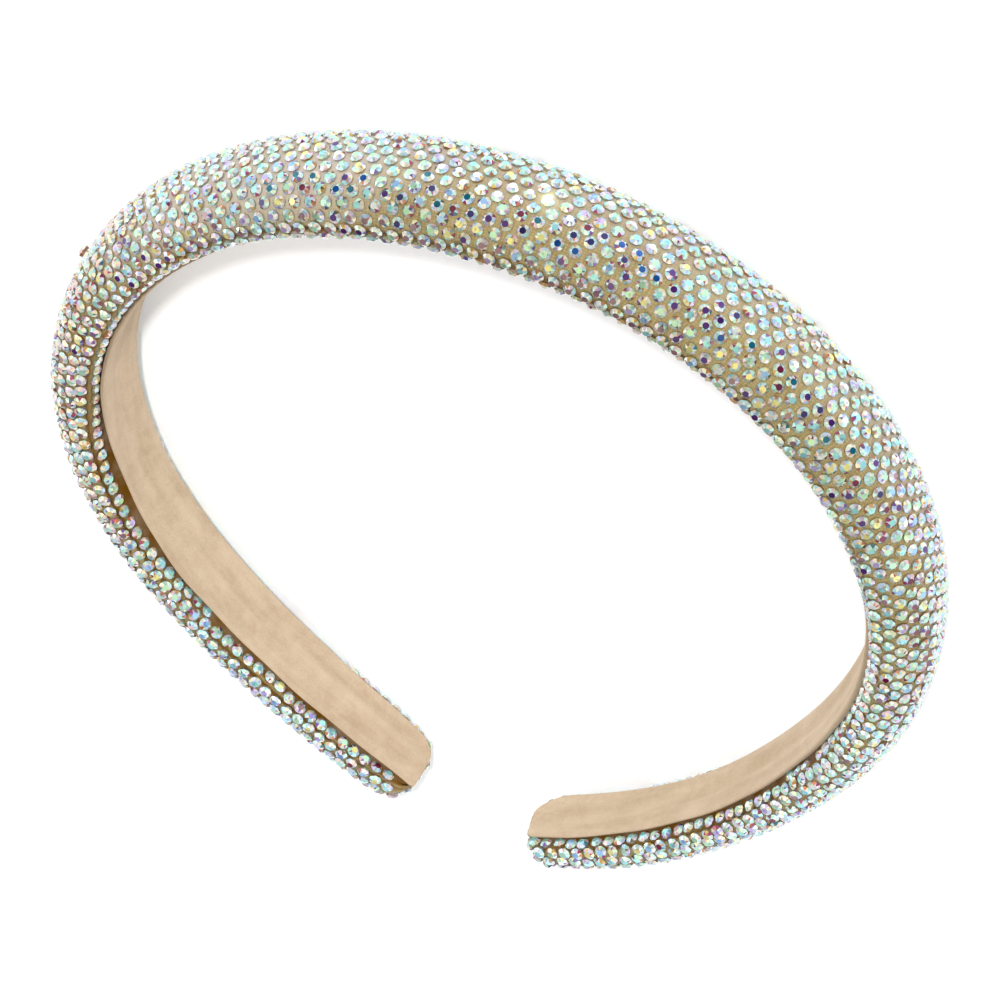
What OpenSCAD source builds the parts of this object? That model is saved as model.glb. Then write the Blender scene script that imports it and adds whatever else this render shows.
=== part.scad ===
// A padded headband lying on its side, paved with small stones outside and lined inside.
// X runs from ear to ear, Y towards the crown and Z up from the surface that the band lies on.

/* [Band] */
// Length along the inner face from the middle of the crown to the end of a leg
leg_length = 182; // [160:1:200]
// Length along a leg from one row of the section table to the next
table_step = 36.2; // [32:0.2:40]
// Width of the padded band at the crown, over the stones
crown_width = 19.6; // [17:0.2:24]
// Thickness of the padded band at the crown, from the lining's face to the stones' tops
crown_thickness = 10.5; // [9:0.1:13]
// Height of the band's widest place, as a share of its thickness
widest_share = 0.28; // [0.25:0.01:0.5]
// Fullness of the padded dome: 2 is an ellipse, and more is squarer
dome_fullness = 2.3; // [2:0.1:3]
// Radius that rounds off the end of each leg
end_radius = 3; // [1:0.1:4]

/* [Lining] */
// Width of the lining at the crown
lining_width = 14; // [11:0.5:15]
// Thickness of the lining
lining_thickness = 1; // [0.6:0.1:1.5]
// Radius of the lower corner at each end of the lining
lining_low_corner = 4; // [1:0.1:4.2]
// Radius of the upper corner at each end of the lining
lining_high_corner = 1.2; // [0.6:0.1:4.2]
// How far the lining stops short of the end of the band
lining_short = 0.8; // [0.2:0.1:2]
// Gap between the lining and the band
lining_gap = 0.2; // [0.1:0.05:0.3]
// Width of the bare strip of the band's inner face beside the lining
seam_margin = 0.4; // [0.2:0.1:1]

/* [Rest] */
// Turn that sets the crown and both legs down on the surface together, in degrees
rest_turn = 0.93; // [0:0.01:3]

/* [Hidden] */

// Columns of the section table
TURN_RIGHT = 0;
TURN_LEFT = 1;
WIDTH = 2;
THICKNESS = 3;
LINING = 4;
LEAN = 5;

// A row for every step of the table along a leg, from the middle of the crown.
// The turns are the directions, in degrees, that the right and the left leg have turned to. The
// width, the thickness and the lining's width are shares of those at the crown. The lean is how
// many degrees the lining's face is turned up.
SECTIONS = [
    [0, 0, 1, 1, 1, 0],
    [31, 31, 0.97, 1, 0.94, 0],
    [69, 68, 0.92, 1.01, 0.8, 0],
    [107, 109, 0.82, 0.99, 0.67, 10],
    [132, 139, 0.72, 0.89, 0.61, 10],
    [157, 149, 0.65, 0.78, 0.64, 0],
];
LAST = len(SECTIONS) - 1;

// Step along the inner face at which the path is worked out
path_step = 1;
path_steps = ceil(2 * leg_length / path_step);
// Sections along the straight run of each leg, and more of them round its end
run_steps = 50;
end_steps = 4;
// Points round each dome and each side bulge of the section
dome_steps = 8;
bulge_steps = 3;
// Bevel along the lining's edges
lining_bevel = 0.3;
// Length along the inner face from the middle of the crown to the end of the lining
lining_reach = leg_length - lining_short;

band_color = [0.78, 0.84, 0.82];
lining_color = [0.84, 0.74, 0.63];

// One entry of the table: rows below 0 are the left leg's
function entry(column, row) =
    column > TURN_LEFT ? SECTIONS[abs(row)][column]
    : row < 0 ? -SECTIONS[-row][TURN_LEFT]
    : SECTIONS[row][TURN_RIGHT];

// The same, carried on in a straight line past the ends of the table
function reach(column, row) =
    abs(row) > LAST
    ? 2 * entry(column, sign(row) * LAST) - entry(column, sign(row) * (LAST - 1))
    : entry(column, row);

// A smooth curve through four even values, between the second and the third
function smooth(a, b, c, d, t) =
    (2 * b + (c - a) * t + (2 * a - 5 * b + 4 * c - d) * t * t
    + (3 * b - a - 3 * c + d) * t * t * t) / 2;

// A column's value at a distance along the band from the middle of the crown
function value(column, along) =
    let (x = along / table_step, row = max(min(floor(x), LAST - 1), -LAST))
    smooth(reach(column, row - 1), reach(column, row), reach(column, row + 1),
        reach(column, row + 2), x - row);

function turn(along) = value(TURN_RIGHT, along);
function half_width(along) = value(WIDTH, along) * crown_width / 2;
function thickness(along) = value(THICKNESS, along) * crown_thickness;
function lining_half(along) = value(LINING, along) * lining_width / 2;

// The inner face's path from the left end to the right end, seen from above
path = [
    for (
        i = 0, at = [0, 0];
        i <= path_steps;
        heading = turn(i * path_step - leg_length + path_step / 2),
        at = at + path_step * [cos(heading), -sin(heading)],
        i = i + 1
    ) at
];

function path_point(along) =
    let (x = (along + leg_length) / path_step, i = min(floor(x), path_steps - 1))
    path[i] + (x - i) * (path[i + 1] - path[i]);

// A point of a section put in its place: up is across the band, and out is away from the head
function placed(along, up, out) =
    let (
        lean = value(LEAN, along),
        high = cos(lean) * up - sin(lean) * out,
        away = cos(lean) * out + sin(lean) * up,
        spot = path_point(along) + away * [sin(turn(along)), cos(turn(along))]
    )
    [
        spot.x,
        cos(rest_turn) * spot.y - sin(rest_turn) * high,
        sin(rest_turn) * spot.y + cos(rest_turn) * high
    ];

// Distances along the band with the inset that rounds its ends: [along, inset]
function stations(reach_of_leg, radius) =
    let (run = reach_of_leg - radius, far = [for (k = [1:end_steps]) 90 * k / end_steps])
    concat(
        [for (k = [end_steps - 1:-1:0]) [-run - radius * sin(far[k]), radius * (1 - cos(far[k]))]],
        [for (k = [-run_steps:run_steps]) [run * k / run_steps, 0]],
        [for (k = [0:end_steps - 1]) [run + radius * sin(far[k]), radius * (1 - cos(far[k]))]]
    );

// The padded section over the stones, as [up, out], from the back face round the dome
function band_section(along, inset) =
    let (
        back = lining_thickness + lining_gap,
        side = half_width(along),
        back_side = lining_half(along) + seam_margin,
        top = thickness(along),
        widest = widest_share * top,
        shrink = 1 - inset / side,
        power = 2 / dome_fullness,
        bulge = [for (k = [0:bulge_steps - 1]) let (a = 90 * k / bulge_steps)
            [back_side + (side - back_side) * sin(a), widest - (widest - back) * cos(a)]],
        dome = [for (k = [0:dome_steps - 1]) let (a = 90 * k / dome_steps)
            [side * pow(cos(a), power), widest + (top - widest) * pow(sin(a), power)]],
        half = concat(bulge, dome)
    )
    [
        for (p = concat(
            half,
            [[0, top]],
            [for (k = [len(half) - 1:-1:0]) [-half[k][0], half[k][1]]]
        )) [p[0] * shrink, back + (p[1] - back) * shrink]
    ];

// How far a rounded corner of the lining draws its edge in
function corner_inset(radius, along) =
    let (past = max(abs(along) - lining_reach + radius, 0))
    radius - sqrt(max(radius * radius - past * past, 0));

// The flat strip of the lining, bevelled along the edges that show
function lining_section(along) =
    let (
        high = lining_half(along) - corner_inset(lining_high_corner, along),
        low = corner_inset(lining_low_corner, along) - lining_half(along)
    )
    [
        [high - lining_bevel, 0],
        [high, lining_bevel],
        [high, lining_thickness],
        [low, lining_thickness],
        [low, lining_bevel],
        [low + lining_bevel, 0]
    ];

// The rings of points of each piece
band_rings = [for (s = stations(leg_length, end_radius))
    [for (p = band_section(s[0], s[1])) placed(s[0], p[0], p[1])]];
lining_rings = [for (s = stations(lining_reach, lining_low_corner))
    [for (p = lining_section(s[0])) placed(s[0], p[0], p[1])]];

// The middle of the band's underside, which becomes the origin
band_points = [for (ring = band_rings) each ring];
xs = [for (p = band_points) p.x];
ys = [for (p = band_points) p.y];
zs = [for (p = band_points) p.z];
underside = [(min(xs) + max(xs)) / 2, (min(ys) + max(ys)) / 2, min(zs)];

// A closed skin over rings of points
module skin(rings) {
    sides = len(rings[0]);
    last = len(rings) - 1;
    walls = [
        for (i = [0:last - 1], k = [0:sides - 1])
        let (
            a = i * sides + k,
            b = i * sides + (k + 1) % sides,
            c = a + sides,
            d = b + sides
        )
        each [[a, b, d], [a, d, c]]
    ];
    left_end = [for (k = [sides - 1:-1:0]) k];
    right_end = [for (k = [0:sides - 1]) last * sides + k];
    translate(-underside)
        polyhedron([for (ring = rings) each ring], concat(walls, [left_end, right_end]));
}

module padded_band() {
    color(band_color) skin(band_rings);
}

module lining() {
    color(lining_color) skin(lining_rings);
}

padded_band();
lining();
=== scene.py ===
import math

import bpy
import numpy as np
from mathutils import Matrix, Vector


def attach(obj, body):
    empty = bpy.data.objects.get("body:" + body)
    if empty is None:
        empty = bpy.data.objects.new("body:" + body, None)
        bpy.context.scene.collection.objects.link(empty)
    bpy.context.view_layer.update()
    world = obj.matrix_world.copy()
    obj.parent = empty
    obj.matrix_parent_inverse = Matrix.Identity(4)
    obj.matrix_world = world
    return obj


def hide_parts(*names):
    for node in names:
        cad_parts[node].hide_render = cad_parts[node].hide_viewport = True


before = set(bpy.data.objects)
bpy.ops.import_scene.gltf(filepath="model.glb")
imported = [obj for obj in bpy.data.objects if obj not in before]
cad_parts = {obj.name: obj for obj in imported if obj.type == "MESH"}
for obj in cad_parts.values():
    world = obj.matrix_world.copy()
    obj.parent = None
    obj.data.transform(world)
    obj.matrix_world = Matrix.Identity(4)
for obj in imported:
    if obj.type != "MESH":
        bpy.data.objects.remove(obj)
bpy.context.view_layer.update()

scene = bpy.context.scene
rng = np.random.default_rng(7)

MM = 0.001  # shapes are worked out in millimetres

# The band's sizes, as in the part's source
LEG = 182.0
TABLE_STEP = 36.2
CROWN_WIDTH = 19.6
CROWN_THICKNESS = 10.5
WIDEST_SHARE = 0.28
DOME_FULLNESS = 2.3
END_RADIUS = 3.0
LINING_WIDTH = 14.0
LINING_THICKNESS = 1.0
LINING_SHORT = 0.8
LINING_GAP = 0.2
SEAM_MARGIN = 0.4
REST_TURN = math.radians(0.93)
BACK = LINING_THICKNESS + LINING_GAP

# A row for every step of the table along a leg, from the middle of the crown
COLUMNS = ("turn_right", "turn_left", "width", "thickness", "lining", "lean")
SECTIONS = np.array([
    (0, 0, 1, 1, 1, 0),
    (31, 31, 0.97, 1, 0.94, 0),
    (69, 68, 0.92, 1.01, 0.8, 0),
    (107, 109, 0.82, 0.99, 0.67, 10),
    (132, 139, 0.72, 0.89, 0.61, 10),
    (157, 149, 0.65, 0.78, 0.64, 0),
])
LAST = len(SECTIONS) - 1

# The stones
STONE = 2.03  # diameter
STONE_RISE = 0.84  # from the base cloth to the table
SIZE_SPREAD = 0.02  # share by which their sizes differ
STONE_TILT = math.radians(6)
STONE_SEED = 11
FACETS_APART = 32.0  # room for the numbers of one stone's facets
TABLE, WALL, FLAT_BACK = 0, 17, 18  # numbers of facets; the stars' and the kites' lie between
ROWS = range(-3, 18)  # row 0 is the one of the table below
ROW_SPACING = 2.05
WANDER, WANDER_LENGTH, WANDER_SHIFT = 0.08, 9, 1.7  # to either side, and how the rows differ
CROWN_PITCH = 2.4
LEG_PITCH = 2.23
PITCH_FROM, PITCH_RUN = 45, 50  # where the pitch goes over from the crown's to the legs'
ASTRAY = 0.07  # how far a stone strays from its place in the row
LEAST_APART = 1.57  # a stone nearer than this to one before it is left out

# Where the paving differs from its even rows: places along the band, negative on the left leg
TIP_ROW = (-177, -157)  # the extra row close to the lower seam at the left tip
TIP_ROW_IN = 0.8  # its distance from the lower seam
TIP_ROW_ACROSS = 8.0  # its distance from the dome's middle line
TUCKED_ROW = (84, 119)  # where the row beside the lining is tucked half under it
TUCKED_BY = 0.7
WORN = (119, 123)  # the worn place without stones beside the lining
WORN_WIDTH = 1.3
BARE_LENGTH, BARE_WIDTH = 3.0, 4.5  # the bare patch at the left tip
NO_LOW_ROW = (-159, -146)  # where the lowest row is missing on the left leg
NO_LOW_ROW_FROM = 118  # and from where on the right leg
LOW_MARGIN, NO_ROW_MARGIN = 0.55, 1.5  # how far the paving stops short of the lower seam
OVER_UPPER_SEAM = 0.8  # how far beyond the upper seam a stone may sit
STAND_OFF, STAND_OFF_STRETCH = 0.65, (-149, 8)  # of the rows after row 0 near the left tip
ROOM, ROOM_STRETCH = 1.2, (-80, 22)  # that the rows before it leave the wide groove
STONES_SHORT = 1.2  # how far the paving stops short of the ends
PROUD_STONE, PROUD_BY = (-73, 0.5), 0.9  # along the band and from the dome's middle line
# Painted glints: the tables of these stones glow, as a painted highlight of a lamp
BRIGHTEST_STONE, BRIGHTEST_FLASH = (5.9, -1.8), 30.0
WHITE_FLASH = 0.55  # of the white tables round it
WHITE_ACROSS, WHITE_ALONG = (-1.8, 2.4), (1, 12)  # their middle and half width
OFF_FLOOR = 0.03  # the least height of a stone over the surface that the band lies on
MOST_PRESSED = 0.6

# The rounded nose of the padded cover at the end of a leg
NOSE = 3.0
NOSE_FULLNESS = 2.6
NOSE_SHORT = 0.5
NOSE_REACH = 5.5  # how far the nose draws the section in

# The cover's seams, its groove and its points
GROOVE_WIDTH = 0.45
GROOVE_DEPTH = 0.5
GROOVE_GLUE_AND_SHADE, SEAM_GLUE_AND_SHADE = 0.75, 0.8  # how wide the dark glue and the painted shade show in the groove and at the seams
SEAM_SUNK = 0.6  # share of the stones' height that the cloth is sunk by at its very edge
SEAM_EASE = 1.5  # from here on, as w from the seam, it is sunk by all of it
UNDER_LINING = 1.0  # how far the cloth's edge is turned in under the lining
PALE_FROM, PALE_RUN = 1.6, 0.9  # where the cloth turns pale towards the outer side, as w; the pale colour is painted skylight
PALE_SOONER, PALE_STRETCH = 0.9, (-42, 26)  # how much sooner it does to the left of the crown
COVER_RINGS, NOSE_RINGS = 330, 15
BULGE_STEPS, DOME_STEPS = 21, 35
BACK_PLACES = (0.06, 0.12, 0.18, 0.24, 0.32, 0.5, 0.68, 0.76, 0.82, 0.88, 0.94)
BACK_EASE = 0.12  # share of its width that stays level with the seam, and then as much eases
END_GLUE = 0.6
BACK_APART, END_ACROSS = 3, 15  # places of the back and of the end points in the flat layout

# How much plumper than the CAD section the dome is, at places along the band
PLUMPER_AT = (-140, -125, -110, -98, -80, -60, 60, 80, 90, 105, 118, 130, 145, 155, 165, 175)
PLUMPER_BY = (0.1, 0.2, 0.15, -0.05, -0.2, 0, 0, 0.05, 0, 0.2, 0.2, 0.05, -0.1, 0.1, 0.35, 0.1)
UPPER_BULGE, LOWER_BULGE = (0.6, 0.5), (3.4, 0.6)  # the middle and half width of each, as w
# The right leg's upper bulge, and how much leaner each leg's lower bulge is: by how much, and the
# middle and half width of the stretch
UPPER_PLUMPER, UPPER_STRETCH = 0.25, (55, 24)
LEFT_LEANER, LEFT_STRETCH = 0.45, (-115, 47)
RIGHT_LEANER, RIGHT_STRETCH = 0.15, (155, 38)

# The cover at the left tip, where the lower edge shows beyond the lining
EDGE_STRETCH = (-168, 11)
EDGE_IN, EDGE_OUT = 0.9, 0.8  # how far it is drawn in and turned out
CORNER_FROM, CORNER_RUN = -173, 8  # where the tip's upper corner is cut off
CORNER_IN = 1.1
CORNER_DOWN_TO = 2.6  # as w

# Distance of one row of stones from the upper seam; the rows wander towards the lining
ROW_AT = (-175, -170, -157, -154, -145, -141, -137, -128, -120, -110, -92, -80, -70, -40, -20,
          0, 30, 60, 76, 85, 98, 116, 125, 133, 146, 158, 165, 180)
ROW_ARC = (0.1, 0.3, 0.45, -0.1, 0.3, 0.85, 1.5, 2.4, 3.0, 3.15, 3.0, 3.6, 4.0, 4.2, 4.0,
           3.85, 3.4, 3.2, 2.2, 1.35, 0.55, 0.65, -0.3, -1.2, -1.7, -1.95, -2.15, -2.25)

# The glued groove between two rows, by its distance from the upper seam
GROOVE_AT = (-125, -110, -92, -80, -70, -40, 0, 30, 76, 98, 116, 125)
GROOVE_ARC = (1.8, 1.8, 1.6, 2.2, 2.6, 3.1, 2.85, 2.4, 1.2, 1.6, 1.7, 1.0)

# The pad's swelling, done by the cloth solver
SWELL_ROOM = -0.1  # how far the pad starts pressed in: below 0 it starts a little fuller
SWELL_CAP = 0.35  # the most that a point may move
SWELL_FRAMES = 16
SWELL_SCALE = 20  # the solver works on a pad this many times larger
SWELL_RINGS, SWELL_SIDES, SWELL_BACK = 121, 25, 4
SWELL_SHORT = 1.2  # how far the slack pad stops short of the ends
SWELL_CLOTH = {
    "quality": 6, "mass": 0.3, "tension_stiffness": 40, "compression_stiffness": 40,
    "shear_stiffness": 20, "bending_stiffness": 0.5, "use_pressure": True,
    "uniform_pressure_force": 4,
}


# Shape of the band

def entry(name, row):
    """A column of the table; rows below 0 are the left leg's, which turns the other way."""
    if name == "turn":
        return np.where(row < 0, -SECTIONS[abs(row), 1], SECTIONS[abs(row), 0])
    return SECTIONS[abs(row), COLUMNS.index(name)]


def reach(name, row):
    """The same, carried on in a straight line past the ends of the table."""
    end = np.where(row < 0, -LAST, LAST)
    before = np.where(row < 0, 1 - LAST, LAST - 1)
    past = 2 * entry(name, end) - entry(name, before)
    return np.where(abs(row) > LAST, past, entry(name, np.clip(row, -LAST, LAST)))


def value(name, along):
    """A column at a distance along the band, on a smooth curve through the table."""
    x = np.asarray(along, float) / TABLE_STEP
    row = np.clip(np.floor(x), -LAST, LAST - 1).astype(int)
    t = x - row
    a, b, c, d = (reach(name, row + k) for k in (-1, 0, 1, 2))
    return (2 * b + (c - a) * t + (2 * a - 5 * b + 4 * c - d) * t**2
            + (3 * b - a - 3 * c + d) * t**3) / 2


def half_lining(along):
    return value("lining", along) * LINING_WIDTH / 2


PATH_AT = np.arange(-LEG, LEG + 1)
heading = np.radians(value("turn", PATH_AT[:-1] + 0.5))
PATH = np.vstack([(0, 0), np.cumsum(np.stack([np.cos(heading), -np.sin(heading)], 1), 0)])


def placed(along, up, out):
    """Points of sections put in place: up is across the band, out is away from the head."""
    lean, turned = np.radians(value("lean", along)), np.radians(value("turn", along))
    high = np.cos(lean) * up - np.sin(lean) * out
    away = np.cos(lean) * out + np.sin(lean) * up
    x = np.interp(along, PATH_AT, PATH[:, 0]) + away * np.sin(turned)
    y = np.interp(along, PATH_AT, PATH[:, 1]) + away * np.cos(turned)
    flat, steep = math.cos(REST_TURN), math.sin(REST_TURN)
    return np.stack(np.broadcast_arrays(x, flat * y - steep * high, steep * y + flat * high), -1)


def outer_section(along, w):
    """(up, out) on the CAD section. w is 0 at the upper seam, 2 on the dome's top and 4 at the
    lower seam; below 0 the section runs on flat under the lining."""
    side = value("width", along) * CROWN_WIDTH / 2
    top = value("thickness", along) * CROWN_THICKNESS
    widest = WIDEST_SHARE * top
    seam = half_lining(along) + SEAM_MARGIN
    half = 2 - abs(np.clip(w, 0, 4) - 2)
    bulge = math.pi / 2 * np.clip(half, 0, 1)
    dome = math.pi / 2 * np.clip(half - 1, 0, 1)
    power = 2 / DOME_FULLNESS
    up = np.where(half < 1, seam + (side - seam) * np.sin(bulge),
                  side * np.clip(np.cos(dome), 0, 1) ** power)
    out = np.where(half < 1, widest - (widest - BACK) * np.cos(bulge),
                   widest + (top - widest) * np.sin(dome) ** power)
    return np.where(np.asarray(w) < 2, up, -up) + UNDER_LINING * np.minimum(w, 0), out


def section(along, w, sunk):
    """The same, sunk below the stones' tables at right angles to the surface."""
    step = 0.01
    (up, out), before, after = (outer_section(along, np.minimum(w + k, 4))
                                for k in (0, -step, step))
    across, away = after[0] - before[0], after[1] - before[1]
    length = np.hypot(across, away)
    return up - sunk * away / length, out + sunk * across / length


def arc_table(along):
    """Distances round the CAD section from the upper seam: the w values and a row of distances
    for each place along the band."""
    w = np.linspace(-1, 4, 201)
    up, out = outer_section(np.asarray(along, float)[:, None], w[None])
    step = np.hypot(np.diff(up, axis=1), np.diff(out, axis=1))
    return w, np.concatenate([np.zeros((len(step), 1)), np.cumsum(step, 1)], 1) - UNDER_LINING


def underside():
    """The middle of the CAD band's underside, which is the frame's origin."""
    t = np.radians(np.linspace(0, 90, 5))
    ends = LEG - END_RADIUS + END_RADIUS * np.sin(t)
    run = np.linspace(END_RADIUS - LEG, LEG - END_RADIUS, 400)
    along = np.concatenate([-ends, run, ends])[:, None]
    inset = END_RADIUS * (1 - np.cos(t))
    inset = np.concatenate([inset, 0 * run, inset])[:, None]
    up, out = outer_section(along, np.linspace(0, 4, 81)[None])
    shrink = 1 - inset / (value("width", along) * CROWN_WIDTH / 2)
    points = placed(along, up * shrink, BACK + (out - BACK) * shrink).reshape(-1, 3)
    low, high = points.min(0), points.max(0)
    return np.array([(low[0] + high[0]) / 2, (low[1] + high[1]) / 2, low[2]])


ORIGIN = underside()

# Distances over the cover and round its nose, with where each is along the band and how far
# the section is drawn in there
quarter = np.radians(np.linspace(0, 90, 41))
NOSE_ALONG = LEG - NOSE_SHORT - NOSE + NOSE * np.sin(quarter) ** (2 / NOSE_FULLNESS)
NOSE_SHRINK = np.clip(np.cos(quarter), 0, 1) ** (2 / NOSE_FULLNESS)
NOSE_OVER = NOSE_ALONG[0] + np.concatenate(
    [[0], np.cumsum(np.hypot(np.diff(NOSE_ALONG), NOSE_REACH * np.diff(NOSE_SHRINK)))])
OVER_END = NOSE_OVER[-1]


def along_at(over):
    """The place along the band of a distance over the cover."""
    far = abs(np.asarray(over, float))
    along = np.where(far < NOSE_OVER[0], far, np.interp(far, NOSE_OVER, NOSE_ALONG))
    return along * np.sign(over)


def nosed(over, up, out):
    """Places of a section, drawn in round the nose, as points of the frame in millimetres."""
    shrink = np.interp(abs(np.asarray(over, float)), NOSE_OVER, NOSE_SHRINK)
    return placed(along_at(over), up * shrink, BACK + (out - BACK) * shrink) - ORIGIN


def bump(x, centre, half_width):
    """1 at the centre and 0 well past half a width from it."""
    return np.exp(-(((x - centre) / half_width) ** 4))


def bell(x, centre, half_width):
    """The same with a rounder top and longer tails."""
    return np.exp(-(((x - centre) / half_width) ** 2))


def cloth_depth(w):
    """How far the base cloth lies below the stones' tables: less at the seam, where it is glued."""
    from_seam = np.clip(np.minimum(abs(np.asarray(w, float)), 4 - w) / SEAM_EASE, 0, 1)
    return STONE_RISE * (SEAM_SUNK + (1 - SEAM_SUNK) * from_seam)


def plumper(along, w):
    """How much plumper than the CAD section this band is over its dome and its upper bulge,
    less how much leaner its lower bulge is."""
    w = np.asarray(w, float)
    over_seam = np.clip(2 - abs(w - 2), 0, 1)
    leaner = LEFT_LEANER * bump(along, *LEFT_STRETCH) + RIGHT_LEANER * bump(along, *RIGHT_STRETCH)
    return (over_seam * np.interp(along, PLUMPER_AT, PLUMPER_BY)
            + bell(w, *UPPER_BULGE) * UPPER_PLUMPER * bump(along, *UPPER_STRETCH)
            - bell(w, *LOWER_BULGE) * leaner)


def cover_point(over, w, more=0.0):
    """A point of the base cloth, pressed in by more."""
    along = along_at(over)
    up, out = section(along, w, cloth_depth(w) + more - plumper(along, w))
    w = np.asarray(w, float)
    edge = np.clip(w - 3, 0, 1) * bump(along, *EDGE_STRETCH)
    corner = np.clip((CORNER_FROM - along) / CORNER_RUN, 0, 1) ** 2
    corner = corner * np.clip(CORNER_DOWN_TO - w, 0, 1)
    return nosed(over, up - EDGE_IN * edge - CORNER_IN * corner, out - EDGE_OUT * edge)


# Meshes

def link(made):
    scene.collection.objects.link(made)
    return made


def new_object(name, points, faces, smooth=True):
    """A mesh object from points in millimetres."""
    mesh = bpy.data.meshes.new(name)
    mesh.from_pydata([tuple(p) for p in np.asarray(points, float) * MM], [], faces)
    if smooth:
        mesh.shade_smooth()
    else:
        mesh.shade_flat()
    return link(bpy.data.objects.new(name, mesh))


def capped_faces(rings, sides):
    """Quads between closed rings of points that lie one after another, and a fan round a last
    point at both ends: the points are the rings' and then the two ends'."""
    faces = []
    for i in range(rings - 1):
        for k in range(sides):
            a, b = i * sides + k, i * sides + (k + 1) % sides
            faces.append((a, a + sides, b + sides, b))
    first, second = rings * sides, rings * sides + 1
    last = (rings - 1) * sides
    for k in range(sides):
        after = (k + 1) % sides
        faces.append((first, k, after))
        faces.append((second, last + after, last + k))
    return faces


def store(mesh, name, kind, domain, values):
    layer = mesh.attributes.new(name, kind, domain)
    key = "vector" if kind == "FLOAT_VECTOR" else "value"
    layer.data.foreach_set(key, np.asarray(values).ravel())


def lay_out(mesh, places):
    """Gives a mesh a UV map from a flat place for every point, ten centimetres to the unit."""
    layer = mesh.uv_layers.new(name="cloth")
    corners = np.zeros(len(mesh.loops), np.int32)
    mesh.loops.foreach_get("vertex_index", corners)
    layer.data.foreach_set("uv", (np.asarray(places, float)[corners] / 100).ravel())


# Nodes and colours

def paint(red, green, blue):
    """A colour as a screen shows it, for a shader's socket."""
    return tuple(c / 12.92 if c < 0.04045 else ((c + 0.055) / 1.055) ** 2.4
                 for c in (red, green, blue)) + (1.0,)


def pick(sockets, name):
    """A socket by its place, or the one of that name that the node uses as it is set."""
    if isinstance(name, int):
        return sockets[name]
    return next(s for s in sockets if s.name == name and s.enabled)


class Nodes:
    """A node tree with short ways to add nodes, set their sockets and wire them."""

    def __init__(self, tree):
        self.tree = tree

    def add(self, kind, sockets=(), **settings):
        node = self.tree.nodes.new(kind)
        for key, setting in settings.items():
            setattr(node, key, setting)
        self.put_all(node, dict(sockets))
        return node

    def put(self, node, socket, source):
        """Sets a socket to a value, or wires it to (node, output)."""
        target = pick(node.inputs, socket)
        if isinstance(source, tuple) and isinstance(source[0], bpy.types.Node):
            self.tree.links.new(pick(source[0].outputs, source[1]), target)
        else:
            target.default_value = source

    def put_all(self, node, sockets):
        for socket, source in sockets.items():
            self.put(node, socket, source)

    def maths(self, operation, *sources):
        node = self.add("ShaderNodeMath", dict(enumerate(sources)), operation=operation)
        return node, 0

    def ramp(self, source, stops, blend="LINEAR"):
        node = self.add("ShaderNodeValToRGB", {"Fac": source})
        node.color_ramp.interpolation = blend
        elements = node.color_ramp.elements
        while len(elements) < len(stops):
            elements.new(0.5)
        for element, (at, colour) in zip(elements, stops):
            element.position = at
            element.color = colour
        return node, 0

    def mix(self, factor, first, second, blend="MIX"):
        node = self.add("ShaderNodeMix", data_type="RGBA", blend_type=blend)
        self.put_all(node, {"Factor": factor, "A": first, "B": second})
        return node, "Result"

    def attribute(self, name):
        return self.add("ShaderNodeAttribute", attribute_name=name), "Fac"


def new_finish(name):
    """A new material, its nodes and its shader."""
    made = bpy.data.materials.new(name)
    made.use_nodes = True
    return made, Nodes(made.node_tree), made.node_tree.nodes["Principled BSDF"]


# Padded cover

def swell():
    """Lets the cloth solver blow up the pad between its glued seams, and gives how far each
    point of a coarse grid over the cover moves, in millimetres."""
    over = np.linspace(-OVER_END + SWELL_SHORT, OVER_END - SWELL_SHORT, SWELL_RINGS)
    w = np.linspace(0, 4, SWELL_SIDES)
    start = cover_point(over[:, None], w[None], more=SWELL_ROOM)
    share = np.linspace(0, 1, SWELL_BACK + 2)[1:-1][None, :, None]
    back = start[:, -1:] * (1 - share) + start[:, :1] * share
    ring = np.concatenate([start, back], 1)
    rings, sides = ring.shape[:2]
    points = np.concatenate([ring.reshape(-1, 3), ring[0].mean(0)[None], ring[-1].mean(0)[None]])
    pad = new_object("slack_pad", points * SWELL_SCALE, capped_faces(rings, sides))
    sewn = np.ones((rings, sides))
    sewn[2:-2, 2:len(w) - 2] = 0
    group = pad.vertex_groups.new(name="sewn")
    held = np.nonzero(sewn.ravel())[0].tolist() + [rings * sides, rings * sides + 1]
    group.add(held, 1.0, "REPLACE")
    cloth = pad.modifiers.new("swell", "CLOTH")
    for key, setting in SWELL_CLOTH.items():
        setattr(cloth.settings, key, setting)
    cloth.settings.effector_weights.gravity = 0
    cloth.settings.vertex_group_mass = "sewn"
    cloth.collision_settings.use_collision = False
    cloth.point_cache.frame_start = 1
    cloth.point_cache.frame_end = SWELL_FRAMES
    for number in range(1, SWELL_FRAMES + 1):
        scene.frame_set(number)
    mesh = pad.evaluated_get(bpy.context.evaluated_depsgraph_get()).data
    swollen = np.zeros(len(mesh.vertices) * 3)
    mesh.vertices.foreach_get("co", swollen)
    swollen = swollen.reshape(-1, 3)[:rings * sides].reshape(rings, sides, 3)
    moved = swollen[:, :len(w)] / SWELL_SCALE / MM - start
    bpy.data.objects.remove(pad)
    scene.frame_set(1)
    length = np.linalg.norm(moved, axis=2, keepdims=True)
    moved *= np.minimum(1, SWELL_CAP / np.maximum(length, 1e-6))
    print("the pad swells by up to %.2f mm, %.2f on average" % (length.max(), length.mean()))
    return over, w, moved


SWELL_OVER, SWELL_W, SWELL_MOVED = swell()


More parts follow.
